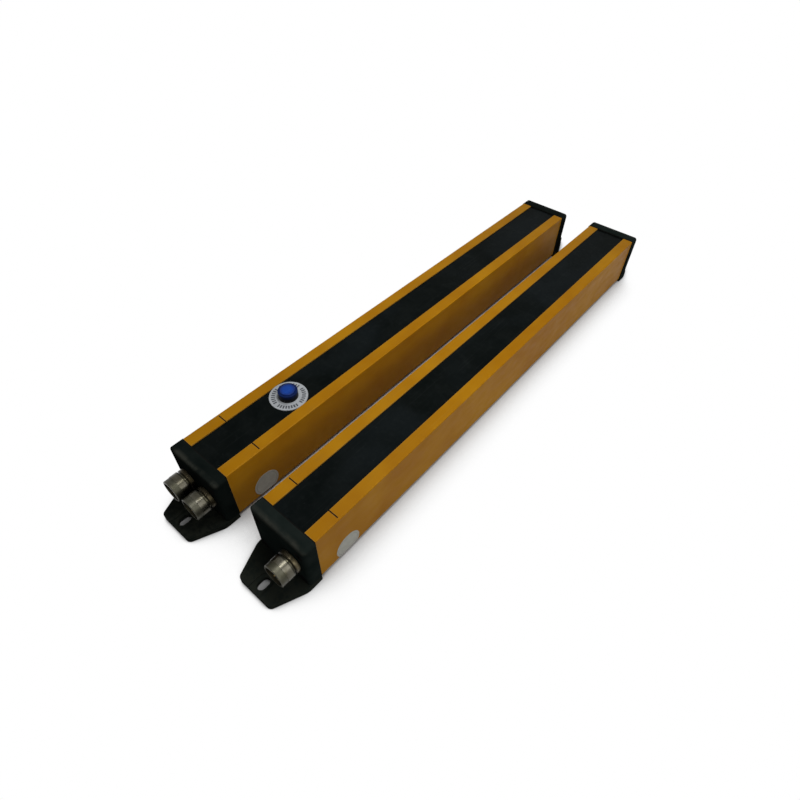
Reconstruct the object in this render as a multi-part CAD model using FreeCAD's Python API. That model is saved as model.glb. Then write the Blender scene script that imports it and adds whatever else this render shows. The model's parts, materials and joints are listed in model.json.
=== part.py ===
"""Safety light curtain: a receiver bar and an emitter bar, lying side by side with their windows up.

Millimetres. Y runs along the bars, X across them and Z up. Z = 0 is the plane that both bars are
bolted to, and the origin is the middle of the whole pair. Each bar is drawn in its own frame first,
with v along the bar from the connector end of its housing, u across it and h above the mounting
plane, and is then moved to its place beside the other.
"""
import FreeCAD, Part
import math
import os

# ---------------------------------------------------------------- the pair
bar_spacing = 80.6            # between the middles of the two bars
bar_stagger = 6.2             # the emitter lies this much further along

# ---------------------------------------------------------------- housing extrusion
housing_length = 460.0
housing_width = 50.0
housing_height = 46.8
housing_wall = 2.2
housing_edge_radius = 0.8
lip_width = 9.9               # painted strip each side of the window
lip_nose = 1.0                # lip thickness over the window's edge
groove_depth = 3.0            # how far the window reaches under a lip
ledge_thickness = 1.4         # below the window's edge
ledge_reach = 1.2             # ledge stands in past the lip
port_outer_radius = 3.6       # screw ports in the corners
port_inset = 5.2              # port centre from the housing's side and back
port_drop = 9.6               # upper port centre below the housing's front
rail_reach = 2.4              # ribs that hold the circuit board
rail_thickness = 1.2
mark_width = 1.0              # engraved index line across the lips
mark_depth = 0.3
mark_side_gap = 1.7           # the line stops this far from the housing's side
receiver_mark_place = 30.1    # index line from the connector end of the housing
emitter_mark_place = 21.3

# ---------------------------------------------------------------- window
window_thickness = 2.0
seal_thickness = 0.8
groove_clearance = 0.1

# ---------------------------------------------------------------- end caps
cap_depth = 10.3
cap_side_proud = 1.2
cap_front_proud = 0.5
cap_back_proud = 3.0          # lifts the housing off the mounting plane
cap_wall = 3.0
cap_corner_radius = 3.0
cap_edge_radius = 1.6
gasket_thickness = 1.0
tab_thickness = 5.0
tab_reach = 27.3              # tab end past the cap's face
tab_end_width = 31.0
tab_shoulder = 2.2            # full width runs this far past the cap's face
tab_shoulder_radius = 14.0
tab_corner_radius = 4.0
slot_width = 6.5
slot_length = 10.0
slot_place = 19.0             # slot centre past the cap's face
seat_margin = 2.7             # screw-head seat round the slot
seat_depth = 1.0

# ---------------------------------------------------------------- cap screws
screw_radius = 2.0
screw_head_radius = 3.6
screw_head_height = 2.2
screw_length = 20.0
screw_clearance = 0.05
screw_socket_width = 2.5      # across flats
screw_socket_depth = 1.2
head_clearance = 0.15
screw_boss_radius = 5.2       # round each screw, in the cap and in the gasket

# ---------------------------------------------------------------- circular connectors
connector_spacing = 22.6
connector_drop = 0.9          # connectors sit this far below the housing's middle
barrel_radius = 9.4
barrel_length = 10.8
barrel_step_length = 5.0      # slimmer front band
barrel_step = 0.35
barrel_wall = 1.5
neck_radius = 7.6
neck_gap = 1.2                # dark groove between barrel and nut
nut_radius = 9.2              # round nut on the cap's face
nut_thickness = 3.7
nut_chamfer = 0.4
thread_clearance = 0.05
flange_radius = 9.0
flange_thickness = 1.2
o_ring_thickness = 1.0
insert_recess = 6.5           # pin face behind the barrel's mouth
insert_length = 3.5
insert_clearance = 0.05
key_width = 1.6
key_depth = 0.8
pin_radius = 0.6
pin_circle_radius = 4.3
pin_count = 6
pin_front = 5.0
pin_back = 2.5

# ---------------------------------------------------------------- optics and electronics
beam_pitch = 30.0
beam_first = 115.0            # first beam from the connector end of the housing
beam_last_gap = 14.0          # least distance from the last beam to the housing's far end
board_thickness = 1.6
board_height = 18.0           # underside of the board above the housing's back
board_end_gap = 4.0           # board stops short of each end of the housing
rail_clearance = 0.15
carrier_wall = 2.0
carrier_lead = 14.0           # carrier starts this far before the first beam
carrier_end_gap = 1.0         # and stops short of the housing's far end
carrier_side_gap = 0.2        # between the carrier and the upper screw ports
well_radius = 5.0
lens_side_gap = 0.9           # between the lens strip and the ledges
lens_drop = 3.0               # top of the lenses below the ledges
lens_thickness = 1.6
lens_radius = 6.5
lens_rise = 1.3
diode_radius = 2.5
diode_height = 3.2

# ---------------------------------------------------------------- labels
label_radius = 11.0
label_thickness = 0.15
receiver_label_place = 27.6   # label centre from the connector end of the housing
emitter_label_place = 26.0
receiver_label_height = 9.5   # and above the housing's back
emitter_label_height = 7.6

# ---------------------------------------------------------------- reset button, on the receiver
button_place = 77.9
button_travel = 1.5
plate_side_gap = 0.1          # legend plate to each lip
plate_thickness = 0.8
collar_radius = 7.7
collar_height = 6.4
collar_floor = 1.0            # collar's solid base over the plate
collar_edge_radius = 0.4
button_radius = 5.9
button_clearance = 0.1
button_proud = 0.6
button_thickness = 2.6
button_edge_radius = 0.5
stem_radius = 2.0
stem_clearance = 0.05
bushing_radius = 6.0
bushing_tail = 1.6            # bushing stands out below its nut
bushing_clearance = 0.1
button_nut_width = 16.0
button_nut_thickness = 3.0
clip_radius = 3.3
clip_thickness = 0.8
clip_gap = 0.3
clip_bite = 0.25              # depth of the clip's groove in the stem
clip_seat_clearance = 0.02
switch_width = 12.0
switch_height = 8.0
switch_chamber_radius = 4.2
switch_chamber_spare = 1.6    # left under the stem when the button is pressed home
switch_terminal_width = 2.0
switch_terminal_thickness = 0.6
switch_terminal_length = 4.0
switch_terminal_spacing = 5.0
spring_radius = 4.0           # middle of the wire
spring_wire_radius = 0.25
spring_half_turns = 7
spring_end_gap = 0.1

# ---------------------------------------------------------------- levels above the mounting plane
housing_back = cap_back_proud
housing_front = housing_back + housing_height
window_top = housing_front - lip_nose
window_bottom = window_top - window_thickness
groove_bottom = window_bottom - seal_thickness - groove_clearance
ledge_bottom = groove_bottom - ledge_thickness
half_width = housing_width / 2
channel_half_width = half_width - lip_width
mark_reach = half_width - mark_side_gap
cavity_half_width = half_width - housing_wall
port_across = half_width - port_inset
port_levels = (housing_back + port_inset, housing_front - port_drop)
board_bottom = housing_back + board_height
board_top = board_bottom + board_thickness
carrier_top = ledge_bottom - lens_drop - lens_rise - lens_thickness
carrier_start = beam_first - carrier_lead
carrier_end = housing_length - carrier_end_gap
carrier_half_width = port_across - port_outer_radius - carrier_side_gap
lens_half_width = channel_half_width - ledge_reach - lens_side_gap
beam_count = int((housing_length - beam_last_gap - beam_first) // beam_pitch) + 1
connector_height = housing_back + housing_height / 2 - connector_drop
plate_radius = channel_half_width - plate_side_gap
cap_back_face = -gasket_thickness
cap_front_face = cap_back_face - cap_depth
cap_floor = cap_front_face + cap_wall
cap_half_width = half_width + cap_side_proud
cap_top = housing_front + cap_front_proud
plate_top = window_top + plate_thickness
collar_top = plate_top + collar_height
collar_bore_floor = plate_top + collar_floor
button_nut_top = window_bottom
bushing_bottom = button_nut_top - button_nut_thickness - bushing_tail
button_top = collar_top + button_proud
button_bottom = button_top - button_thickness
clip_top = bushing_bottom - clip_gap
stem_bottom = clip_top - 2 * clip_thickness
switch_chamber_floor = stem_bottom - button_travel - switch_chamber_spare

V = FreeCAD.Vector
ALONG = V(0, 1, 0)
UP = V(0, 0, 1)


# ---------------------------------------------------------------- helpers
def box(u_low, u_high, v_low, v_high, h_low, h_high):
    return Part.makeBox(u_high - u_low, v_high - v_low, h_high - h_low, V(u_low, v_low, h_low))


def rod(u, h, v_low, v_high, radius):
    """A cylinder that runs along the bar."""
    return Part.makeCylinder(radius, v_high - v_low, V(u, v_low, h), ALONG)


def post(u, v, h_low, h_high, radius):
    """An upright cylinder."""
    return Part.makeCylinder(radius, h_high - h_low, V(u, v, h_low), UP)


def hexagon(width, centre, axis, corner):
    """A regular hexagon of the given width across flats, with one corner in a given direction."""
    corner_radius = width / math.sqrt(3)
    other = axis.cross(corner)
    points = []
    for step in range(7):
        turn = math.radians(60 * step)
        points.append(centre + corner * (corner_radius * math.cos(turn))
                      + other * (corner_radius * math.sin(turn)))
    return Part.Face(Part.makePolygon(points))


def port_places():
    """The four screw ports, across the bar and above the mounting plane."""
    return [(side * port_across, level) for side in (-1, 1) for level in port_levels]


def edges_where(shape, test):
    """The edges whose two ends both pass a test."""
    return [edge for edge in shape.Edges
            if all(test(vertex.Point) for vertex in edge.Vertexes)]


def near(value, target):
    return abs(value - target) < 0.001


def turned_from_middle(shape):
    """The same piece for the far end of the bar: turned half round about an upright line."""
    turned = shape.copy()
    turned.rotate(V(0, housing_length / 2, 0), UP, 180)
    return turned


def slot_face(centre_v, width, length, level):
    """An upright obround outline that runs along the bar, as a face at one level."""
    radius = width / 2
    reach = length / 2 - radius
    right_near = V(radius, centre_v - reach, level)
    right_far = V(radius, centre_v + reach, level)
    left_far = V(-radius, centre_v + reach, level)
    left_near = V(-radius, centre_v - reach, level)
    far_tip = V(0, centre_v + length / 2, level)
    near_tip = V(0, centre_v - length / 2, level)
    return Part.Face(Part.Wire([
        Part.LineSegment(right_near, right_far).toShape(),
        Part.Arc(right_far, far_tip, left_far).toShape(),
        Part.LineSegment(left_far, left_near).toShape(),
        Part.Arc(left_near, near_tip, right_near).toShape()]))


# ---------------------------------------------------------------- housing
def mark_line(mark_place, u_low, u_high):
    """The tool that engraves one lip's index line."""
    return box(u_low, u_high, mark_place - mark_width / 2, mark_place + mark_width / 2,
               housing_front - mark_depth, housing_front)


def housing(mark_place):
    """The extrusion: a box section with screw ports, board rails and a grooved front opening."""
    section = box(-half_width, half_width, 0, housing_length, housing_back, housing_front)
    outer_edges = [edge for edge in section.Edges if near(edge.Length, housing_length)]
    section = section.makeFillet(housing_edge_radius, outer_edges)
    cavity = box(-cavity_half_width, cavity_half_width, 0, housing_length,
                 housing_back + housing_wall, ledge_bottom)
    ribs = []
    for side in (-1, 1):
        for level in port_levels:
            ribs.append(rod(side * port_across, level, 0, housing_length, port_outer_radius))
            wall_h = housing_back if level < board_bottom else housing_front
            ribs.append(box(min(side * port_across, side * half_width),
                            max(side * port_across, side * half_width), 0, housing_length,
                            min(level, wall_h), max(level, wall_h)))
        inner_u = side * (cavity_half_width - rail_reach)
        for rail_h in (board_bottom - rail_clearance - rail_thickness, board_top + rail_clearance):
            ribs.append(box(min(inner_u, side * half_width), max(inner_u, side * half_width), 0,
                            housing_length, rail_h, rail_h + rail_thickness))
    cavity = cavity.cut(ribs)
    ledge_half_gap = channel_half_width - ledge_reach
    groove_half_width = channel_half_width + groove_depth
    openings = [
        box(-channel_half_width, channel_half_width, 0, housing_length, window_top, housing_front),
        box(-groove_half_width, groove_half_width, 0, housing_length, groove_bottom, window_top),
        box(-ledge_half_gap, ledge_half_gap, 0, housing_length, ledge_bottom, groove_bottom),
        mark_line(mark_place, -mark_reach, -channel_half_width),
        mark_line(mark_place, channel_half_width, mark_reach)]
    for u, h in port_places():
        openings.append(rod(u, h, 0, housing_length, screw_radius + screw_clearance))
    return section.cut([cavity] + openings)


def window(has_button):
    """The dark front strip, held in the lips' grooves, with the button's hole on the receiver."""
    half = channel_half_width + groove_depth - groove_clearance
    strip = box(-half, half, 0, housing_length, window_bottom, window_top)
    if has_button:
        strip = strip.cut(post(0, button_place, window_bottom, window_top,
                               bushing_radius + bushing_clearance))
    return strip


def window_seals():
    """Two soft strips between the window's edges and the ledges."""
    strips = []
    inner = channel_half_width - ledge_reach
    outer = channel_half_width + groove_depth - groove_clearance
    for low, high in ((-outer, -inner), (inner, outer)):
        strips.append(box(low, high, 0, housing_length, groove_bottom, groove_bottom + seal_thickness))
    return Part.makeCompound(strips)


# ---------------------------------------------------------------- end caps
def tab_outline():
    """The mounting tab seen from above, as a face at the mounting plane."""
    shoulder_v = cap_front_face - tab_shoulder
    end_v = cap_front_face - tab_reach
    outline = Part.Face(Part.makePolygon([
        V(-cap_half_width, cap_back_face, 0), V(cap_half_width, cap_back_face, 0),
        V(cap_half_width, shoulder_v, 0), V(tab_end_width / 2, end_v, 0),
        V(-tab_end_width / 2, end_v, 0), V(-cap_half_width, shoulder_v, 0),
        V(-cap_half_width, cap_back_face, 0)]))
    plate = outline.extrude(V(0, 0, tab_thickness))
    shoulders = edges_where(plate, lambda p: near(p.y, shoulder_v))
    shoulders = [edge for edge in shoulders if near(edge.Length, tab_thickness)]
    plate = plate.makeFillet(tab_shoulder_radius, shoulders)
    corners = edges_where(plate, lambda p: near(p.y, end_v))
    corners = [edge for edge in corners if near(edge.Length, tab_thickness)]
    return plate.makeFillet(tab_corner_radius, corners)


def end_cap(connector_places):
    """The moulded cap: a hollow rounded block and a mounting tab with its slot, in one piece."""
    block = box(-cap_half_width, cap_half_width, cap_front_face, cap_back_face, 0, cap_top)
    upright = [edge for edge in block.Edges
               if near(edge.Length, cap_top) and near(edge.Vertexes[0].Y, cap_front_face)]
    along_top = [edge for edge in block.Edges
                 if near(edge.Length, cap_depth) and near(edge.Vertexes[0].Z, cap_top)]
    block = block.makeFillet(cap_corner_radius, upright + along_top)
    top_rim = edges_where(block, lambda p: near(p.y, cap_front_face)
                          and p.z > cap_top - cap_corner_radius - 0.001)
    block = block.makeFillet(cap_edge_radius, top_rim)
    cap = block.fuse(tab_outline()).removeSplitter()

    inner_half = cap_half_width - cap_wall
    hollow = box(-inner_half, inner_half, cap_floor, cap_back_face,
                 housing_back + housing_wall, cap_top - cap_wall)
    bosses = [rod(u, h, cap_floor, cap_back_face, screw_boss_radius) for u, h in port_places()]
    openings = [hollow.cut(bosses)]
    for u, h in port_places():
        openings.append(rod(u, h, cap_front_face, cap_back_face, screw_radius + screw_clearance))
        openings.append(rod(u, h, cap_front_face, cap_front_face + screw_head_height,
                            screw_head_radius + head_clearance))
    for place in connector_places:
        openings.append(rod(place, connector_height, cap_front_face, cap_floor,
                            neck_radius + thread_clearance))

    slot_v = cap_front_face - slot_place
    through = slot_face(slot_v, slot_width, slot_length, 0).extrude(V(0, 0, tab_thickness))
    seat_level = tab_thickness - seat_depth
    seat_width = slot_width + 2 * seat_margin
    seat = slot_face(slot_v, seat_width, slot_length + 2 * seat_margin, seat_level)
    seat = seat.extrude(V(0, 0, seat_depth))
    run_out = box(-seat_width / 2, seat_width / 2, cap_front_face - tab_reach, slot_v,
                  seat_level, tab_thickness)
    return cap.cut(openings + [through, seat.fuse(run_out)])


def cap_gasket():
    """A flat ring between the cap and the housing's end, with the screws' holes."""
    ring = box(-half_width, half_width, cap_back_face, 0, housing_back, housing_front)
    inner_half = cavity_half_width - gasket_thickness
    middle = box(-inner_half, inner_half, cap_back_face, 0,
                 housing_back + housing_wall + gasket_thickness, window_bottom)
    bosses = [rod(u, h, cap_back_face, 0, screw_boss_radius) for u, h in port_places()]
    holes = [rod(u, h, cap_back_face, 0, screw_radius + screw_clearance) for u, h in port_places()]
    return ring.cut([middle.cut(bosses)] + holes)


def cap_screws():
    """Four socket-head screws through the cap into the housing's ports, as separate solids."""
    screws = []
    head_back = cap_front_face + screw_head_height
    for u, h in port_places():
        head = rod(u, h, cap_front_face, head_back, screw_head_radius)
        shank = rod(u, h, head_back, cap_front_face + screw_length, screw_radius)
        socket = hexagon(screw_socket_width, V(u, cap_front_face, h), ALONG, UP)
        socket = socket.extrude(V(0, screw_socket_depth, 0))
        screws.append(head.fuse(shank).removeSplitter().cut(socket))
    return Part.makeCompound(screws)


# ---------------------------------------------------------------- connectors
nut_face = cap_front_face - nut_thickness
barrel_back = nut_face - neck_gap
barrel_mouth = barrel_back - barrel_length
insert_face = barrel_mouth + insert_recess
bore_radius = barrel_radius - barrel_step - barrel_wall
insert_radius = bore_radius - insert_clearance
flange_front = cap_floor + o_ring_thickness
flange_back = flange_front + flange_thickness
wire_bore_radius = neck_radius - barrel_wall


def connector_shell():
    """The turned metal shell: barrel, slim neck, thread through the cap and inner flange."""
    profile = [
        (bore_radius, barrel_mouth), (barrel_radius - barrel_step, barrel_mouth),
        (barrel_radius - barrel_step, barrel_mouth + barrel_step_length),
        (barrel_radius, barrel_mouth + barrel_step_length), (barrel_radius, barrel_back),
        (neck_radius, barrel_back), (neck_radius, flange_front), (flange_radius, flange_front),
        (flange_radius, flange_back), (wire_bore_radius, flange_back),
        (wire_bore_radius, insert_face + insert_length), (bore_radius, insert_face + insert_length)]
    points = [V(radius, v, 0) for radius, v in profile]
    points.append(points[0])
    shell = Part.Face(Part.makePolygon(points)).revolve(V(0, 0, 0), ALONG, 360)
    rims = [edge for edge in shell.Edges
            if near(edge.Vertexes[0].Y, barrel_mouth)
            and near(math.hypot(edge.Vertexes[0].X, edge.Vertexes[0].Z), barrel_radius - barrel_step)
            and len(edge.Vertexes) == 1]
    return shell.makeChamfer(barrel_step, rims)


def pin_places():
    """Pins on a circle, one place of the pattern left free at the key."""
    places = []
    for number in range(pin_count):
        turn = math.radians(90 + 360.0 * (number + 1) / (pin_count + 1))
        places.append((pin_circle_radius * math.cos(turn), pin_circle_radius * math.sin(turn)))
    return places


def connector_insert():
    """The moulded pin carrier, with its keyway."""
    body = rod(0, 0, insert_face, insert_face + insert_length, insert_radius)
    keyway = box(-key_width / 2, key_width / 2, insert_face, insert_face + insert_length,
                 insert_radius - key_depth, insert_radius + key_depth)
    holes = [rod(u, h, insert_face, insert_face + insert_length, pin_radius)
             for u, h in pin_places()]
    return body.cut([keyway] + holes)


def connector_pins():
    pins = []
    for u, h in pin_places():
        pin = rod(u, h, insert_face - pin_front, insert_face + insert_length + pin_back, pin_radius)
        tip = [edge for edge in pin.Edges
               if len(edge.Vertexes) == 1 and near(edge.Vertexes[0].Y, insert_face - pin_front)]
        pins.append(pin.makeChamfer(pin_radius / 2, tip))
    return Part.makeCompound(pins)


def connector_nut():
    """The round nut on the cap's face."""
    blank = rod(0, 0, nut_face, cap_front_face, nut_radius)
    rims = [edge for edge in blank.Edges if len(edge.Vertexes) == 1]
    blank = blank.makeChamfer(nut_chamfer, rims)
    return blank.cut(rod(0, 0, nut_face, cap_front_face, neck_radius + thread_clearance))


def connector_seal():
    """The flat seal ring between the flange and the cap's inner wall."""
    ring = rod(0, 0, cap_floor, flange_front, flange_radius)
    return ring.cut(rod(0, 0, cap_floor, flange_front, neck_radius + thread_clearance))


def connector(place):
    """The five pieces of one connector, at its place across the cap."""
    pieces = {"shell": connector_shell(), "insert": connector_insert(), "pins": connector_pins(),
              "nut": connector_nut(), "seal": connector_seal()}
    for piece in pieces.values():
        piece.translate(V(place, 0, connector_height))
    return pieces


# ---------------------------------------------------------------- optics and electronics
def beam_places():
    return [beam_first + number * beam_pitch for number in range(beam_count)]


def circuit_board():
    half = cavity_half_width - rail_clearance
    return box(-half, half, board_end_gap, housing_length - board_end_gap, board_bottom, board_top)


def optics_carrier():
    """The dark moulding between board and lenses, with one well for each beam."""
    half = carrier_half_width
    body = box(-half, half, carrier_start, carrier_end, board_top, carrier_top)
    flutes = [box(low, low + carrier_wall, carrier_start, carrier_end,
                  board_top + carrier_wall, carrier_top - carrier_wall)
              for low in (-half, half - carrier_wall)]
    wells = [post(0, v, board_top, carrier_top, well_radius) for v in beam_places()]
    return body.cut(flutes + wells)


def lens_strip():
    """One clear moulding with a plano-convex lens over each well."""
    strip = box(-lens_half_width, lens_half_width, carrier_start, carrier_end,
                carrier_top, carrier_top + lens_thickness)
    lens_top = carrier_top + lens_thickness
    ball_radius = (lens_radius ** 2 + lens_rise ** 2) / (2 * lens_rise)
    for v in beam_places():
        ball = Part.makeSphere(ball_radius, V(0, v, lens_top + lens_rise - ball_radius))
        cap_box = box(-lens_radius, lens_radius, v - lens_radius, v + lens_radius,
                      lens_top, lens_top + lens_rise)
        strip = strip.fuse(ball.common(cap_box))
    return strip.removeSplitter()


def diodes():
    """A domed diode on the board under each lens."""
    pieces = []
    for v in beam_places():
        diode = post(0, v, board_top, board_top + diode_height, diode_radius)
        rim = [edge for edge in diode.Edges
               if len(edge.Vertexes) == 1 and near(edge.Vertexes[0].Z, board_top + diode_height)]
        pieces.append(diode.makeChamfer(diode_radius / 2, rim))
    return Part.makeCompound(pieces)


def side_label(place, height):
    """A round sticker on the side, trimmed at the housing's rounded back edge."""
    centre_h = housing_back + height
    disc = Part.makeCylinder(label_radius, label_thickness, V(half_width, place, centre_h),
                             V(1, 0, 0))
    keep = box(half_width, half_width + label_thickness, place - label_radius,
               place + label_radius, housing_back + housing_edge_radius,
               centre_h + label_radius)
    return disc.common(keep)


# ---------------------------------------------------------------- reset button
def legend_plate():
    plate = post(0, button_place, window_top, plate_top, plate_radius)
    return plate.cut(post(0, button_place, window_top, plate_top, bushing_radius + bushing_clearance))


def button_collar():
    """Raised black collar and the threaded bushing under it, in one turned piece."""
    collar = post(0, button_place, plate_top, collar_top, collar_radius)
    rim = [edge for edge in collar.Edges
           if len(edge.Vertexes) == 1 and near(edge.Vertexes[0].Z, collar_top)]
    collar = collar.makeFillet(collar_edge_radius, rim)
    bushing = post(0, button_place, bushing_bottom, plate_top, bushing_radius)
    collar = collar.fuse(bushing).removeSplitter()
    bore = post(0, button_place, collar_bore_floor, collar_top, button_radius + button_clearance)
    stem_hole = post(0, button_place, bushing_bottom, collar_bore_floor,
                     stem_radius + stem_clearance)
    return collar.cut([bore, stem_hole])


def reset_button():
    """The blue button head with its stem, grooved for the clip."""
    head = post(0, button_place, button_bottom, button_top, button_radius)
    rim = [edge for edge in head.Edges
           if len(edge.Vertexes) == 1 and near(edge.Vertexes[0].Z, button_top)]
    head = head.makeFillet(button_edge_radius, rim)
    stem = post(0, button_place, stem_bottom, button_bottom, stem_radius)
    groove = post(0, button_place, clip_top - clip_thickness, clip_top, stem_radius)
    core = post(0, button_place, clip_top - clip_thickness, clip_top, stem_radius - clip_bite)
    return head.fuse(stem).removeSplitter().cut(groove.cut(core))


def button_clip():
    """The ring in the stem's groove that stops the button below the bushing."""
    ring = post(0, button_place, clip_top - clip_thickness, clip_top, clip_radius)
    inner_radius = stem_radius - clip_bite + clip_seat_clearance
    return ring.cut(post(0, button_place, clip_top - clip_thickness, clip_top, inner_radius))


def button_nut():
    blank = hexagon(button_nut_width, V(0, button_place, button_nut_top - button_nut_thickness),
                    UP, V(1, 0, 0)).extrude(V(0, 0, button_nut_thickness))
    return blank.cut(post(0, button_place, button_nut_top - button_nut_thickness, button_nut_top,
                          bushing_radius + thread_clearance))


def button_switch():
    """The contact block under the bushing, with room for the stem's travel and two terminals."""
    half = switch_width / 2
    bottom = bushing_bottom - switch_height
    block = box(-half, half, button_place - half, button_place + half, bottom, bushing_bottom)
    block = block.cut(post(0, button_place, switch_chamber_floor, bushing_bottom,
                           switch_chamber_radius))
    for side in (-1, 1):
        middle = side * switch_terminal_spacing / 2
        block = block.fuse(box(middle - switch_terminal_thickness / 2,
                               middle + switch_terminal_thickness / 2,
                               button_place - switch_terminal_width / 2,
                               button_place + switch_terminal_width / 2,
                               bottom - switch_terminal_length, bottom))
    return block.removeSplitter()


def button_spring():
    """The return spring between the collar's floor and the button's head.

    Each half turn of the wire is a tilted half ring, and starts along the end of the last one.
    """
    low = collar_bore_floor + spring_wire_radius + spring_end_gap
    high = button_bottom - spring_wire_radius - spring_end_gap
    rise = (high - low) / spring_half_turns
    half_rings = []
    for number in range(spring_half_turns):
        side = 1 if number % 2 == 0 else -1
        start = V(side * spring_radius, button_place, low + number * rise)
        middle = V(0, button_place, start.z + rise / 2)
        tilted_axis = V(side * rise / 2, 0, spring_radius)
        section = Part.Face(Part.Wire([Part.Circle(start, ALONG, spring_wire_radius).toShape()]))
        half_rings.append(section.revolve(middle, tilted_axis, 180))
    return half_rings[0].fuse(half_rings[1:])


# ---------------------------------------------------------------- the two bars
def bar(mark_place, label_spot, connector_names, has_button):
    """Every piece of one bar, by name, in the bar's own frame."""
    cap_near = end_cap(list(connector_names.values()))
    cap_far = turned_from_middle(end_cap([]))
    pieces = {
        "housing": housing(mark_place),
        "window": window(has_button),
        "window_seals": window_seals(),
        "connector_cap": cap_near,
        "far_cap": cap_far,
        "connector_cap_gasket": cap_gasket(),
        "far_cap_gasket": turned_from_middle(cap_gasket()),
        "connector_cap_screws": cap_screws(),
        "far_cap_screws": turned_from_middle(cap_screws()),
        "circuit_board": circuit_board(),
        "optics_carrier": optics_carrier(),
        "lens_strip": lens_strip(),
        "diodes": diodes(),
        "side_label": side_label(*label_spot)}
    for name, place in connector_names.items():
        for piece_name, piece in connector(place).items():
            pieces[name + "_" + piece_name] = piece
    if has_button:
        pieces["legend_plate"] = legend_plate()
        pieces["button_collar"] = button_collar()
        pieces["reset_button"] = reset_button()
        pieces["button_clip"] = button_clip()
        pieces["button_nut"] = button_nut()
        pieces["button_switch"] = button_switch()
        pieces["button_spring"] = button_spring()
    return pieces


def main():
    os.makedirs("parts", exist_ok=True)
    half_connectors = connector_spacing / 2
    receiver = bar(receiver_mark_place, (receiver_label_place, receiver_label_height),
                   {"signal_connector": half_connectors, "relay_connector": -half_connectors}, True)
    emitter = bar(emitter_mark_place, (emitter_label_place, emitter_label_height),
                  {"power_connector": half_connectors}, False)
    middle_v = (housing_length + bar_stagger) / 2
    for prefix, pieces, place in (("receiver_", receiver, V(-bar_spacing / 2, -middle_v, 0)),
                                  ("emitter_", emitter,
                                   V(bar_spacing / 2, bar_stagger - middle_v, 0))):
        for name, shape in pieces.items():
            moved = shape.copy()
            moved.translate(place)
            moved.exportStep("parts/" + prefix + name + ".step")
            facets = moved.tessellate(0.1)[1]
            print("%-34s solids %2d valid %s volume %10.2f facets %5d" % (
                prefix + name, len(moved.Solids), moved.isValid(), moved.Volume, len(facets)))


main()
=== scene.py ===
"""Safety light curtain: materials, printed marks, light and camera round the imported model.

Metres, in the row frame: +Y along the bars, +X from the receiver to the emitter, +Z up.
Colours are in linear light. A noise's scale is roughly how many of its features fit in a metre.
"""
import json
import math

import bpy
from mathutils import Matrix, Vector


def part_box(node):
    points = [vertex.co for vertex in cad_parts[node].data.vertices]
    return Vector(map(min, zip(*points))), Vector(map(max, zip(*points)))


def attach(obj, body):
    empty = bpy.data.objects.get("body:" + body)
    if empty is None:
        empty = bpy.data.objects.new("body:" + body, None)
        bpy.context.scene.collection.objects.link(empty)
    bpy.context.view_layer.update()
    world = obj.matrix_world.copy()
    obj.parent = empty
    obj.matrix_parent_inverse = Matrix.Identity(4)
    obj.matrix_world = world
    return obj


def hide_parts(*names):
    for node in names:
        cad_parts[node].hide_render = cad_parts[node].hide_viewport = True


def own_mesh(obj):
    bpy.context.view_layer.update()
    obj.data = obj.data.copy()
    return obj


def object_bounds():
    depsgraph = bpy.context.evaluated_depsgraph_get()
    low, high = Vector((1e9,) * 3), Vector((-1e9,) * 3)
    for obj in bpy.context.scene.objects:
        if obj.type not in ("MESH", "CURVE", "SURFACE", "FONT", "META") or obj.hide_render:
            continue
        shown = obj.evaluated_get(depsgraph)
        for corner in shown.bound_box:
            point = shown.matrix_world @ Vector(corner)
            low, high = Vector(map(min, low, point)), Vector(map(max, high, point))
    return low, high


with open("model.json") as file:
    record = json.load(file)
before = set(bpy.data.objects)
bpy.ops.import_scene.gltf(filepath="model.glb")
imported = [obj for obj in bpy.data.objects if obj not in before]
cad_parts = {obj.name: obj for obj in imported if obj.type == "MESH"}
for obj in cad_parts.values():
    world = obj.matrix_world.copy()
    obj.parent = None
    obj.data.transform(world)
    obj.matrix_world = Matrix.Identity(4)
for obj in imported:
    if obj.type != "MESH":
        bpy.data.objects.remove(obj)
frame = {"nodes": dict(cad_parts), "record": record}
cad_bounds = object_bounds()
MM = 0.001
X, Y, Z = range(3)
UNITS = ("receiver", "emitter")

# ---------------------------------------------------------------- printed and cut marks
mark_from_end = {"receiver": 30.1 * MM, "emitter": 21.3 * MM}   # index line across the lips
mark_width = 1.0 * MM
mark_depth = 0.3 * MM
mark_side_gap = 1.7 * MM                # the line stops short of the housing's side
tick_count = 36
tick_groups = 4                         # each group leaves out one tick
tick_ring = (10.4 * MM, 13.4 * MM)      # inner and outer radius of the printed ticks
tick_width = 1.15 * MM
label_ring = 9.3 * MM                   # radius of the faint ring on the side labels
label_ring_width = 0.44 * MM

# ---------------------------------------------------------------- connectors, caps and button
front_band = 5.0 * MM                   # slimmer, duller front of each connector's barrel
bore_radius = 7.6 * MM                  # inside of the barrel
barrel_length = 10.8 * MM
knurl_count = 60                        # ridges round each connector's nut
# Painted shade: a dark band each side of the groove behind the barrel makes the groove look wider.
groove_shade = 0.8 * MM
metal_paleness = {"receiver": 1.0, "emitter": 1.3}     # how pale each bar's connectors are
cap_paleness = {"receiver": 1.05, "emitter": 1.75}      # how pale each bar's caps are
settled_height = 5.5 * MM               # dust lies on the caps' tabs, below this height
edge_highlight_reach = 3.4 * MM                    # painted highlight along the caps' outer top edge, where light catches its rounding
button_middle, button_rim = 3.4 * MM, 5.8 * MM      # the head's blue goes navy between these: painted shade towards the rim
collar_shaded_navy = (3.6 * MM, 0.2 * MM)      # below the collar's top, where its navy starts and is full: the blue head's colour under painted shade
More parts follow.
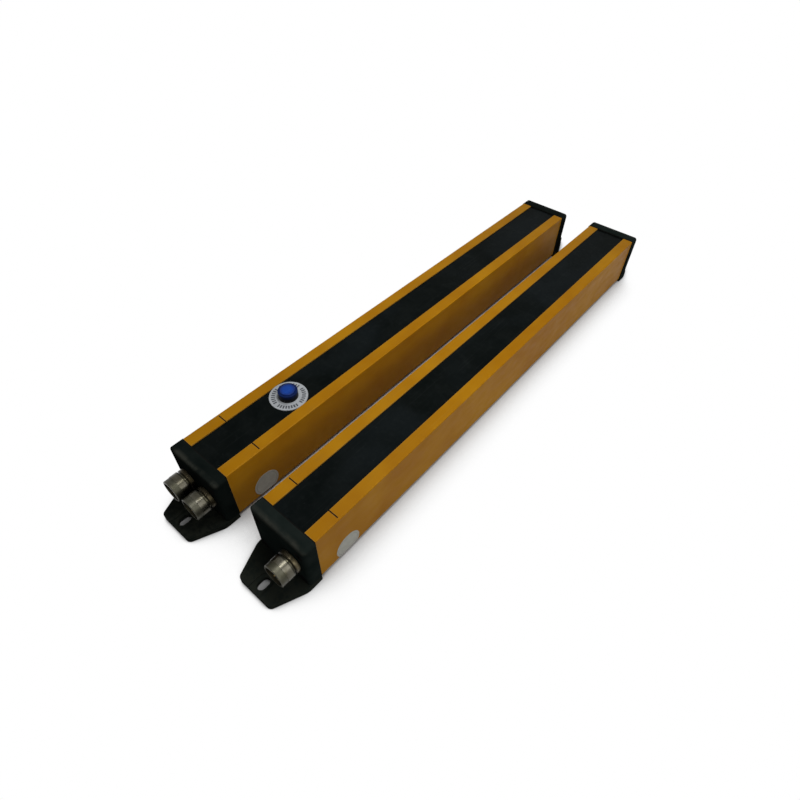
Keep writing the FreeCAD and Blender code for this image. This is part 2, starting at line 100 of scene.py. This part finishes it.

# ---------------------------------------------------------------- camera
camera_focal = 0.674                    # focal length over the frame's width
sensor_width = 36.0                     # millimetres, as the lens is
camera_place = Vector((0.2046, -0.3170, 0.3570))
camera_heading = math.radians(39.49)    # from +Y towards -X
camera_dip = math.radians(47.77)        # below level
camera_roll = math.radians(1.41)

# ---------------------------------------------------------------- floor and light
floor_half = 8.0                        # its edge is far out of view
floor_gap = 0.2 * MM                    # the floor lies this far under the part
floor_grey = (0.50, 0.50, 0.50)
shadow_reach = 0.05                     # how far away the object still darkens the floor
shadow_fade = (0.38, 0.80)              # open sky at which the white starts, and is full
fill_strength = 0.20                    # of the world, on the object


def make_camera():
    camera = bpy.data.objects.new("camera", bpy.data.cameras.new("camera"))
    bpy.context.scene.collection.objects.link(camera)
    camera.data.sensor_width = sensor_width
    camera.data.lens = camera_focal * sensor_width
    camera.data.clip_start = 0.01
    camera.data.clip_end = 50.0
    level = Vector((math.cos(camera_heading), math.sin(camera_heading), 0))
    ahead = Vector((-math.sin(camera_heading) * math.cos(camera_dip),
                    math.cos(camera_heading) * math.cos(camera_dip), -math.sin(camera_dip)))
    above = level.cross(ahead)
    right = level * math.cos(camera_roll) + above * math.sin(camera_roll)
    up = above * math.cos(camera_roll) - level * math.sin(camera_roll)
    turn = Matrix((right, up, -ahead)).transposed().to_4x4()
    camera.matrix_world = Matrix.Translation(camera_place) @ turn
    bpy.context.scene.camera = camera


# ---------------------------------------------------------------- node helpers
class Nodes:
    """Short ways to add nodes to one tree."""

    def __init__(self, tree):
        self.tree = tree

    def node(self, kind, **settings):
        made = self.tree.nodes.new(kind)
        for key, value in settings.items():
            setattr(made, key, value)
        return made

    def link(self, source, target):
        self.tree.links.new(source, target)

    def math(self, operation, *values):
        """One step of arithmetic on sockets or plain numbers."""
        made = self.node("ShaderNodeMath", operation=operation)
        for target, value in zip(made.inputs, values):
            if isinstance(value, bpy.types.NodeSocket):
                self.link(value, target)
            else:
                target.default_value = value
        return made.outputs[0]

    def product(self, first, *rest):
        """Everything multiplied, so 1 only where each mask is 1."""
        for value in rest:
            first = self.math("MULTIPLY", first, value)
        return first

    def span(self, value, low, high, start=0.3, end=0.7, smooth=False):
        """A number that goes from low to high as value goes from start to end."""
        made = self.node("ShaderNodeMapRange",
                         interpolation_type="SMOOTHSTEP" if smooth else "LINEAR")
        self.link(value, made.inputs["Value"])
        made.inputs["From Min"].default_value = start
        made.inputs["From Max"].default_value = end
        made.inputs["To Min"].default_value = low
        made.inputs["To Max"].default_value = high
        return made.outputs["Result"]

    def background_rays(self):
        """1 for rays that see the background: the camera's, in gloss and through clear things."""
        path = self.node("ShaderNodeLightPath").outputs
        seen = self.math("MAXIMUM", path["Is Camera Ray"], path["Is Glossy Ray"])
        return self.math("MAXIMUM", seen, path["Is Transmission Ray"])

    def blend(self, factor, first, second, output):
        """Sends the first shader to the output where factor is 0, and the second where it is 1."""
        made = self.node("ShaderNodeMixShader")
        self.link(factor, made.inputs["Fac"])
        self.link(first.outputs[0], made.inputs[1])
        self.link(second.outputs[0], made.inputs[2])
        self.link(made.outputs[0], self.tree.nodes[output].inputs["Surface"])


class Paint(Nodes):
    """One material, built up as layers of colour over fine relief."""

    def __init__(self, name):
        self.material = bpy.data.materials.new(name)
        self.material.use_nodes = True
        super().__init__(self.material.node_tree)
        self.shader = self.tree.nodes["Principled BSDF"]
        self.place = self.node("ShaderNodeTexCoord").outputs["Object"]

    def set(self, **values):
        """Plain values on the shader's own sockets: specular, metallic, coat and so on."""
        for key, value in values.items():
            self.shader.inputs[key.replace("_", " ")].default_value = value

    def noise(self, scale, detail=4.0, stretch=(1, 1, 1), distortion=0.0):
        mapping = self.node("ShaderNodeMapping")
        self.link(self.place, mapping.inputs["Vector"])
        mapping.inputs["Scale"].default_value = stretch
        made = self.node("ShaderNodeTexNoise")
        self.link(mapping.outputs["Vector"], made.inputs["Vector"])
        made.inputs["Scale"].default_value = scale
        made.inputs["Detail"].default_value = detail
        made.inputs["Roughness"].default_value = 0.55
        made.inputs["Distortion"].default_value = distortion
        return made.outputs["Fac"]

    def specks(self, spacing, size, share=0.38):
        """1 in small round specks, on a share of the cells of a given spacing."""
        made = self.node("ShaderNodeTexVoronoi")
        self.link(self.place, made.inputs["Vector"])
        made.inputs["Scale"].default_value = 1.0 / spacing
        near = self.math("LESS_THAN", made.outputs["Distance"], size / spacing)
        cell = self.node("ShaderNodeSeparateColor")
        self.link(made.outputs["Color"], cell.inputs["Color"])
        chosen = self.math("GREATER_THAN", cell.outputs["Red"], 1 - share)
        return self.product(near, chosen)

    def patches(self, value, start=0.3, end=0.7):
        """0 where value is below start and 1 where it is above end."""
        return self.span(value, 0.0, 1.0, start, end)

    def within(self, value, middle, reach):
        """1 where value is no further than reach from middle."""
        away = self.math("ABSOLUTE", self.math("SUBTRACT", value, middle))
        return self.math("LESS_THAN", away, reach)

    def edges(self, radius, start=0.01, end=0.25):
        """1 on sharp or tightly rounded edges and 0 on flats."""
        soft = self.node("ShaderNodeBevel", samples=6)
        soft.inputs["Radius"].default_value = radius
        flat = self.node("ShaderNodeNewGeometry")
        dot = self.node("ShaderNodeVectorMath", operation="DOT_PRODUCT")
        self.link(soft.outputs["Normal"], dot.inputs[0])
        self.link(flat.outputs["Normal"], dot.inputs[1])
        return self.patches(self.math("SUBTRACT", 1.0, dot.outputs["Value"]), start, end)

    def axes(self):
        """The place on the part, as x, y and z."""
        made = self.node("ShaderNodeSeparateXYZ")
        self.link(self.place, made.inputs["Vector"])
        return made.outputs

    def offsets(self, axis, center):
        """How far the place is from center along the two other axes."""
        place = self.axes()
        return [self.math("SUBTRACT", place[other], center[other])
                for other in (X, Y, Z) if other != axis]

    def radius(self, axis, center):
        """Distance from the line through center along one axis."""
        squares = [self.math("POWER", away, 2.0) for away in self.offsets(axis, center)]
        return self.math("SQRT", self.math("ADD", *squares))

    def turn(self, axis, center):
        """Angle round the line through center along one axis."""
        across, along = self.offsets(axis, center)
        return self.math("ARCTAN2", along, across)

    def ramp(self, value, low, high, start=0.3, end=0.7):
        """A colour that goes from low to high as value goes from start to end."""
        made = self.node("ShaderNodeValToRGB")
        self.link(value, made.inputs["Fac"])
        for element, position, color in zip(made.color_ramp.elements, (start, end), (low, high)):
            element.position = position
            element.color = (*color, 1)
        return made.outputs["Color"]

    def over(self, body, color, cover, share=1.0):
        """Lays a plain colour over body where cover is 1, at the given share."""
        made = self.node("ShaderNodeMix", data_type="RGBA")
        self.link(self.product(cover, share), made.inputs["Factor"])
        self.link(body, made.inputs["A"])
        made.inputs["B"].default_value = (*color, 1)
        return made.outputs["Result"]

    def bump(self, height, distance, strength, after=None):
        made = self.node("ShaderNodeBump")
        self.link(height, made.inputs["Height"])
        made.inputs["Distance"].default_value = distance
        made.inputs["Strength"].default_value = strength
        if after is not None:
            self.link(after, made.inputs["Normal"])
        return made.outputs["Normal"]

    def finish(self, color, roughness, normal):
        self.link(color, self.shader.inputs["Base Color"])
        self.link(roughness, self.shader.inputs["Roughness"])
        self.link(normal, self.shader.inputs["Normal"])
        return self.material


def paler(color, factor):
    return [factor * part for part in color]


# ---------------------------------------------------------------- housings and windows
def housing_paint(unit):
    """Amber powder coat: slow drift, blotches, streaks, worn edges, specks and orange peel."""
    deep, bright = (0.292, 0.118, 0.0022), (0.362, 0.164, 0.0042)
    browned, streaked = (0.25, 0.130, 0.018), (0.38, 0.210, 0.03)
    worn, speck, line = (0.46, 0.33, 0.14), (0.06, 0.04, 0.02), (0.020, 0.010, 0.003)
    paint = Paint(unit + "_housing_paint")
    paint.set(Specular_IOR_Level=0.03)
    body = paint.ramp(paint.noise(22, detail=3), deep, bright)
    blotch = paint.noise(140, detail=5, stretch=(1, 0.5, 1))
    body = paint.over(body, browned, paint.patches(blotch, 0.52, 0.75), 0.22)
    streaks = paint.noise(900, detail=2, stretch=(1, 0.02, 1))
    body = paint.over(body, streaked, paint.patches(streaks, 0.55, 0.8), 0.12)
    rubbed = paint.product(paint.edges(0.7 * MM), paint.patches(paint.noise(420)))
    body = paint.over(body, worn, rubbed, 0.55)
    body = paint.over(body, speck, paint.specks(9 * MM, 0.22 * MM), 0.6)
    # painted shade in the index line's shallow cut, on its floor and walls
    body = paint.over(body, line, index_line(paint, unit))
    orange_peel = paint.bump(paint.noise(1100, detail=2), 0.05 * MM, 0.35)
    return paint.finish(body, paint.span(blotch, 0.36, 0.52), orange_peel)


def index_line(paint, unit):
    """1 in the shallow line cut across a bar's lips, and on the cut's own walls, where the painted
    shade goes.
    """
    low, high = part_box(unit + "_housing")
    x, y, z = paint.axes()
    along = paint.within(y, low[Y] + mark_from_end[unit], 0.55 * mark_width)
    sunk = paint.within(z, high[Z] - 0.55 * mark_depth, 0.5 * mark_depth)
    on_lips = paint.within(x, (low[X] + high[X]) / 2, (high[X] - low[X]) / 2 - mark_side_gap)
    return paint.product(along, sunk, on_lips)


def window_plastic():
    """Near-black strip with smudges, haze, hair scratches, a thin film and a little dust."""
    deep, smudged = (0.0022, 0.0034, 0.0032), (0.0046, 0.0060, 0.0056)
    hazy, scratched = (0.0075, 0.0100, 0.0110), (0.05, 0.055, 0.055)
    dusty, filmed = (0.10, 0.11, 0.11), (0.07, 0.08, 0.08)
    paint = Paint("window_plastic")
    paint.set(Specular_IOR_Level=0.008)
    smudge = paint.noise(45, detail=5, distortion=0.6)
    body = paint.ramp(smudge, deep, smudged)
    haze = paint.noise(9, detail=2, distortion=0.8)
    body = paint.over(body, hazy, paint.patches(haze, 0.48, 0.62), 0.6)
    hairs = paint.noise(1500, detail=1, stretch=(1, 0.012, 1))
    body = paint.over(body, scratched, paint.patches(hairs, 0.66, 0.74), 0.10)
    body = paint.over(body, dusty, paint.specks(6.5 * MM, 0.17 * MM), 0.5)
    film = paint.noise(260, detail=6)
    body = paint.over(body, filmed, paint.patches(film, 0.5, 0.75), 0.03)
    ripple = paint.bump(paint.noise(60, detail=1), 0.02 * MM, 0.3)
    return paint.finish(body, paint.span(smudge, 0.16, 0.34), ripple)


# ---------------------------------------------------------------- end caps
def cap_plastic(unit):
    """Black moulding with a fine eroded grain, dusty on its tab, paler on its edges from wear and
    painted highlight, and with a painted highlight along its outer top edge.
    """
    deep, bright = (0.0040, 0.0060, 0.0054), (0.0080, 0.0104, 0.0094)
    edge, top_edge = (0.040, 0.042, 0.036), (0.032, 0.033, 0.027)
    tab_dust, speck = (0.0190, 0.0210, 0.0160), (0.09, 0.09, 0.08)
    paint = Paint(unit + "_cap_plastic")
    paint.set(Specular_IOR_Level=0.0)
    drift = paint.noise(70, detail=5)
    body = paint.ramp(drift, paler(deep, cap_paleness[unit]), paler(bright, cap_paleness[unit]))
    uneven = paint.span(paint.noise(300, detail=5), 0.15, 1.0, 0.35, 0.65)
    rubbed = paint.product(paint.edges(1.4 * MM, 0.02, 0.4), uneven)
    # sharp edges paler: partly wear, partly painted highlight where light catches them
    body = paint.over(body, edge, rubbed, 0.25)
    broken = paint.span(paint.noise(110, detail=4), 0.1, 0.8, 0.40, 0.62)
    # painted highlight along the outer top edge, broken up in patches
    body = paint.over(body, top_edge, paint.product(outer_top_edge(paint, unit), broken))
    on_tab = paint.math("LESS_THAN", paint.axes()[Z], settled_height)
    body = paint.over(body, tab_dust, paint.product(on_tab, paint.span(uneven, 0.25, 0.75)))
    body = paint.over(body, speck, paint.specks(4.5 * MM, 0.15 * MM), 0.4)
    grain = paint.bump(paint.noise(2600, detail=2), 0.04 * MM, 0.5)
    return paint.finish(body, paint.span(drift, 0.42, 0.58), grain)


def outer_top_edge(paint, unit):
    """1 along the top edge of a bar's two end faces, where the painted highlight goes, fading to 0
    at the highlight's reach from there.
    """
    cap_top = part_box(unit + "_connector_cap")[1][Z]
    screws_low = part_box(unit + "_connector_cap_screws")[0]
    housing_low, housing_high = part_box(unit + "_housing")
    middle = (housing_low[Y] + housing_high[Y]) / 2
    face = middle - screws_low[Y]       # the screws' heads are flush with the end face
    x, y, z = paint.axes()
    from_middle = paint.math("ABSOLUTE", paint.math("SUBTRACT", y, middle))
    inward = paint.math("ABSOLUTE",
                        paint.math("SUBTRACT", from_middle, face - 0.4 * edge_highlight_reach))
    down = paint.math("ABSOLUTE", paint.math("SUBTRACT", z, cap_top - 0.2 * edge_highlight_reach))
    return paint.product(paint.span(inward, 1.0, 0.0, 0.2 * edge_highlight_reach, edge_highlight_reach),
                         paint.span(down, 1.0, 0.0, 0.3 * edge_highlight_reach, edge_highlight_reach))


# ---------------------------------------------------------------- connectors
def connector_metal(name, center, mouth, barrel_back, paleness):
    """Nickel plate gone brown in patches: a dull front band, turning lines, a bore darkened by
    painted shade, and painted shade beside the groove behind the barrel.
    """
    plated, tarnished = (0.076, 0.072, 0.058), (0.039, 0.036, 0.024)
    stained, dulled, worn = (0.024, 0.020, 0.011), (0.028, 0.029, 0.020), (0.14, 0.13, 0.09)
    groove, bore = (0.004, 0.0035, 0.002), (0.040, 0.037, 0.024)
    paint = Paint(name + "_metal")
    paint.set(Metallic=1.0)
    tarnish = paint.noise(130, detail=5, distortion=0.3)
    body = paint.ramp(tarnish, paler(plated, paleness), paler(tarnished, paleness), 0.35, 0.68)
    body = paint.over(body, stained, paint.patches(paint.noise(600, detail=4), 0.56, 0.72), 0.45)
    y = paint.axes()[Y]
    dull = paint.math("LESS_THAN", y, mouth + front_band)
    body = paint.over(body, paler(dulled, paleness), dull, 0.5)
    body = paint.over(body, worn, paint.edges(0.35 * MM), 0.15)
    # painted shade beside the groove behind the barrel
    by_groove = paint.math("GREATER_THAN", y, barrel_back - groove_shade)
    body = paint.over(body, groove, by_groove, 0.75)
    # painted shade inside the barrel's bore
    in_bore = paint.math("LESS_THAN", paint.radius(Y, center), bore_radius)
    body = paint.over(body, bore, in_bore)
    turning = paint.bump(paint.noise(240, detail=2, stretch=(0.05, 14, 0.05)), 0.015 * MM, 0.12)
    rough = paint.math("ADD", paint.span(tarnish, 0.20, 0.27), paint.product(dull, 0.17))
    return paint.finish(body, rough, turning)


def nut_metal(name, center, face, paleness):
    """The round nut behind the barrel: browner, with a fine straight knurl on its rim."""
    plated, tarnished = (0.066, 0.056, 0.036), (0.030, 0.024, 0.012)
    worn, groove = (0.14, 0.12, 0.08), (0.004, 0.0035, 0.002)
    paint = Paint(name + "_nut_metal")
    paint.set(Metallic=1.0)
    tarnish = paint.noise(260, detail=6, distortion=0.3)
    body = paint.ramp(tarnish, paler(plated, paleness ** 2), paler(tarnished, paleness ** 2), 0.32, 0.66)
    body = paint.over(body, worn, paint.edges(0.3 * MM), 0.30)
    # painted shade on the nut's face beside the groove
    by_groove = paint.math("LESS_THAN", paint.axes()[Y], face + groove_shade)
    body = paint.over(body, groove, by_groove, 0.75)
    knurl = paint.math("SINE", paint.product(paint.turn(Y, center), float(knurl_count)))
    ridges = paint.bump(knurl, 0.03 * MM, 0.15)
    pitted = paint.bump(paint.noise(1500), 0.02 * MM, 0.4, after=ridges)
    return paint.finish(body, paint.span(tarnish, 0.24, 0.40), pitted)


# ---------------------------------------------------------------- labels and button
def legend_print(center):
    """Satin silver plate with a ring of plain dark ticks."""
    shaded, silver = (0.300, 0.318, 0.332), (0.390, 0.408, 0.428)
    brushed, ink = (0.20, 0.21, 0.22), (0.014, 0.016, 0.022)
    paint = Paint("legend_plate")
    paint.set(Specular_IOR_Level=0.15)
    cloud = paint.noise(260, detail=5)
    body = paint.ramp(cloud, shaded, silver)
    grain = paint.noise(2400, detail=1, stretch=(1, 0.05, 1))
    body = paint.over(body, brushed, paint.patches(grain), 0.18)
    faded = paint.span(paint.noise(900), 0.75, 1.0)
    body = paint.over(body, ink, paint.product(tick_marks(paint, center), faded))
    brushing = paint.bump(grain, 0.01 * MM, 0.3)
    return paint.finish(body, paint.span(cloud, 0.32, 0.45), brushing)


def tick_marks(paint, center):
    """1 on the ticks round the plate, in even groups with one tick left out between them."""
    radius = paint.radius(Z, center)
    turn = paint.turn(Z, center)
    step = 2 * math.pi / tick_count
    number = paint.math("ROUND", paint.math("DIVIDE", turn, step))
    aside = paint.math("ABSOLUTE", paint.math("SUBTRACT", turn, paint.product(number, step)))
    on_tick = paint.math("LESS_THAN", paint.product(aside, radius), tick_width / 2)
    in_ring = paint.product(paint.math("GREATER_THAN", radius, tick_ring[0]),
                            paint.math("LESS_THAN", radius, tick_ring[1]))
    in_group = paint.math("GREATER_THAN",
                          paint.math("FLOORED_MODULO", number, tick_count / tick_groups), 0.5)
    return paint.product(on_tick, in_ring, in_group)


def label_paper(center):
    """Blank grey sticker with a faint printed ring and a fibrous surface."""
    shaded, pale = (0.30, 0.30, 0.26), (0.40, 0.40, 0.36)
    fibrous, ink = (0.24, 0.24, 0.21), (0.10, 0.10, 0.09)
    paint = Paint("label_paper")
    paint.set(Specular_IOR_Level=0.25)
    cloud = paint.noise(230, detail=6, distortion=0.5)
    body = paint.ramp(cloud, shaded, pale)
    fibre = paint.noise(3200, detail=2, stretch=(1, 0.3, 1))
    body = paint.over(body, fibrous, paint.patches(fibre), 0.3)
    ring = paint.within(paint.radius(X, center), label_ring, label_ring_width / 2)
    body = paint.over(body, ink, ring, 0.45)
    wrinkles = paint.bump(cloud, 0.05 * MM, 0.4)
    return paint.finish(body, paint.span(cloud, 0.45, 0.62), wrinkles)


def button_plastic(center):
    """Deep blue moulded head, brighter in the middle and navy towards its rim: painted shade, as
    on a dome lit from above.
    """
    deep, bright = (0.0022, 0.034, 0.225), (0.0038, 0.044, 0.280)
    navy, scuffed = (0.0025, 0.012, 0.085), (0.03, 0.11, 0.42)
    paint = Paint("button_plastic")
    paint.set(Specular_IOR_Level=0.10, Coat_Weight=0.03, Coat_Roughness=0.2)
    cloud = paint.noise(500, detail=5)
    body = paint.ramp(cloud, deep, bright)
    # painted shade: navy towards the head's rim
    rim = paint.patches(paint.radius(Z, center), button_middle, button_rim)
    body = paint.over(body, navy, rim, 0.85)
    scuffs = paint.noise(2200, detail=1, stretch=(1, 0.05, 1))
    body = paint.over(body, scuffed, paint.patches(scuffs, 0.60, 0.72), 0.20)
    grain = paint.bump(paint.noise(1800, detail=2), 0.02 * MM, 0.35)
    return paint.finish(body, paint.span(cloud, 0.26, 0.40), grain)


def collar_plastic(top):
    """Moulded collar, black at its foot and navy towards its top, where it carries the blue head's
    colour darkened by painted shade.
    """
    deep, bright = (0.0035, 0.0038, 0.0045), (0.0070, 0.0072, 0.0080)
    navy = (0.0032, 0.0125, 0.070)
    paint = Paint("collar_plastic")
    paint.set(Specular_IOR_Level=0.04)
    cloud = paint.noise(600, detail=5)
    body = paint.ramp(cloud, deep, bright)
    # painted shade of the blue head's side: navy towards the collar's top
    shaded_navy_top = paint.patches(paint.axes()[Z], top - collar_shaded_navy[0], top - collar_shaded_navy[1])
    body = paint.over(body, navy, shaded_navy_top, 0.85)
    grain = paint.bump(paint.noise(2400, detail=2), 0.02 * MM, 0.3)
    return paint.finish(body, paint.span(cloud, 0.28, 0.42), grain)


# ---------------------------------------------------------------- inside and small parts
def plain(name, low, high, roughness, metallic=0.0, specular=0.3):
    """A material whose colour and roughness drift between two values over fine noise."""
    paint = Paint(name)
    paint.set(Metallic=metallic, Specular_IOR_Level=specular)
    drift = paint.noise(400, detail=5)
    grain = paint.bump(paint.noise(2000, detail=2), 0.02 * MM, 0.4)
    rough = paint.span(drift, roughness - 0.07, roughness + 0.07)
    return paint.finish(paint.ramp(drift, low, high), rough, grain)


def circuit_board():
    """Green lacquer over a mesh of copper tracks."""
    paint = Paint("board")
    tracks = paint.node("ShaderNodeTexBrick")
    paint.link(paint.place, tracks.inputs["Vector"])
    tracks.inputs["Scale"].default_value = 160
    tracks.inputs["Mortar Size"].default_value = 0.06
    tracks.inputs["Color1"].default_value = (0.015, 0.085, 0.030, 1)
    tracks.inputs["Color2"].default_value = (0.018, 0.100, 0.036, 1)
    tracks.inputs["Mortar"].default_value = (0.040, 0.150, 0.060, 1)
    relief = paint.bump(tracks.outputs["Fac"], 0.03 * MM, 0.5)
    return paint.finish(tracks.outputs["Color"], paint.span(paint.noise(300), 0.3, 0.42), relief)


def small_parts():
    """The plain materials of the inside and of the small parts, by material slot."""
    looks = {
        "seal_rubber": dict(low=(0.003, 0.003, 0.003), high=(0.006, 0.006, 0.005),
                            roughness=0.65, specular=0.02),
        "screw_steel": dict(low=(0.006, 0.006, 0.006), high=(0.014, 0.013, 0.012),
                            roughness=0.5, specular=0.0),
        "insert_plastic": dict(low=(0.006, 0.006, 0.007), high=(0.011, 0.011, 0.012),
                               roughness=0.5),
        "pin_brass": dict(low=(0.20, 0.14, 0.05), high=(0.30, 0.21, 0.08),
                          roughness=0.35, metallic=1.0),
        "carrier_plastic": dict(low=(0.008, 0.008, 0.009), high=(0.015, 0.015, 0.016),
                                roughness=0.5),
        "lens_plastic": dict(low=(0.35, 0.37, 0.40), high=(0.45, 0.47, 0.50),
                             roughness=0.18, specular=0.5),
        "diode_plastic": dict(low=(0.010, 0.008, 0.014), high=(0.020, 0.016, 0.026),
                              roughness=0.2, specular=0.5),
        "spring_steel": dict(low=(0.35, 0.35, 0.35), high=(0.50, 0.50, 0.49),
                             roughness=0.3, metallic=1.0),
        "nut_plastic": dict(low=(0.010, 0.010, 0.010), high=(0.018, 0.018, 0.018),
                            roughness=0.5),
        "switch_plastic": dict(low=(0.020, 0.020, 0.021), high=(0.034, 0.034, 0.035),
                               roughness=0.5),
    }
    return {slot: plain(slot, **look) for slot, look in looks.items()}


# ---------------------------------------------------------------- dressing the model
def middle_of(low, high):
    return [(a + b) / 2 for a, b in zip(low, high)]


def shared_looks():
    """The materials that every node of a slot shares."""
    plate_center = middle_of(*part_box("receiver_legend_plate"))
    return {
        "window_plastic": window_plastic(),
        "plate_metal": legend_print(plate_center),
        "button_plastic": button_plastic(plate_center),
        "collar_plastic": collar_plastic(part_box("receiver_button_collar")[1][Z]),
        "board": circuit_board(),
        **small_parts(),
    }


def dress():
    """Gives every CAD node its material, by its kind or by the record's material slot."""
    shared = shared_looks()
    housings = {unit: housing_paint(unit) for unit in UNITS}
    caps = {unit: cap_plastic(unit) for unit in UNITS}
    slot_of = {part["node"]: part["material_slot"] for part in frame["record"]["subparts"]}
    for node, thing in frame["nodes"].items():
        slot = slot_of[node]
        low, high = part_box(node)
        center = middle_of(low, high)
        unit = node.split("_")[0]
        if node.endswith("_shell"):
            barrel_back = low[Y] + barrel_length
            look = connector_metal(node, center, low[Y], barrel_back, metal_paleness[unit])
        elif node.endswith("connector_nut"):
            look = nut_metal(node, center, low[Y], metal_paleness[unit])
        elif slot == "housing_paint":
            look = housings[unit]
        elif slot == "cap_plastic":
            look = caps[unit]
        elif slot == "label_paper":
            label_radius = (high[Y] - low[Y]) / 2
            look = label_paper((high[X], center[Y], high[Z] - label_radius))
        else:
            look = shared[slot]
        thing.data.materials.clear()
        thing.data.materials.append(look)


def make_spring():
    """The button's coil spring as a copy with its own mesh, on the root body in place of the
    hidden CAD node.
    """
    node = "receiver_button_spring"
    spring = bpy.data.objects.new("pressed_spring", frame["nodes"][node].data.copy())
    bpy.context.scene.collection.objects.link(spring)
    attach(spring, "root")
    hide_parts(node)
    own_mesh(spring)


# ---------------------------------------------------------------- floor and light
def make_floor():
    mesh = bpy.data.meshes.new("floor")
    mesh.from_pydata([(-floor_half, -floor_half, 0), (floor_half, -floor_half, 0),
                      (floor_half, floor_half, 0), (-floor_half, floor_half, 0)], [],
                     [(0, 1, 2, 3)])
    mesh.materials.append(floor_paint())
    floor = bpy.data.objects.new("floor", mesh)
    floor.location.z = cad_bounds[0][2] - floor_gap
    bpy.context.scene.collection.objects.link(floor)


def floor_paint():
    """Plain and pale: white where it is open, and with the object's own shadow close to it."""
    material = bpy.data.materials.new("floor")
    material.use_nodes = True
    nodes = Nodes(material.node_tree)
    shader = nodes.tree.nodes["Principled BSDF"]
    shader.inputs["Base Color"].default_value = (*floor_grey, 1)
    shader.inputs["Roughness"].default_value = 0.9
    shader.inputs["Specular IOR Level"].default_value = 0.0
    white = nodes.node("ShaderNodeEmission")
    white.inputs["Color"].default_value = (1, 1, 1, 1)
    open_sky = nodes.node("ShaderNodeAmbientOcclusion")
    open_sky.inputs["Distance"].default_value = shadow_reach
    lift = nodes.span(open_sky.outputs["AO"], 0.0, 1.0, *shadow_fade, smooth=True)
    nodes.blend(nodes.product(lift, nodes.background_rays()), shader, white, "Material Output")
    return material


def make_world():
    """A weak even fill on the object, which is white where it is seen as the background."""
    world = bpy.data.worlds.new("world")
    world.use_nodes = True
    nodes = Nodes(world.node_tree)
    fill = nodes.tree.nodes["Background"]
    white = nodes.node("ShaderNodeBackground")
    for sky, strength in ((fill, fill_strength), (white, 1.0)):
        sky.inputs["Color"].default_value = (1, 1, 1, 1)
        sky.inputs["Strength"].default_value = strength
    nodes.blend(nodes.background_rays(), fill, white, "World Output")
    bpy.context.scene.world = world


def make_lamp(name, place, size, power):
    """A rectangular soft light that faces the middle of the pair, its power in watts."""
    lamp = bpy.data.objects.new(name, bpy.data.lights.new(name, "AREA"))
    lamp.data.shape = "RECTANGLE"
    lamp.data.size, lamp.data.size_y = size
    lamp.data.energy = power
    lamp.location = place
    lamp.rotation_euler = Vector(place).to_track_quat("Z", "Y").to_euler()
    bpy.context.scene.collection.objects.link(lamp)


make_camera()
bpy.context.scene.view_settings.view_transform = "Standard"
dress()
make_spring()
make_floor()
make_world()
make_lamp("overhead", place=(0.03, -0.03, 0.56), size=(0.18, 0.32), power=2.0)
make_lamp("high_right", place=(0.90, -0.02, 0.80), size=(0.8, 0.8), power=4.3)
make_lamp("right_side", place=(1.0, -0.15, 0.40), size=(0.6, 0.6), power=0.5)
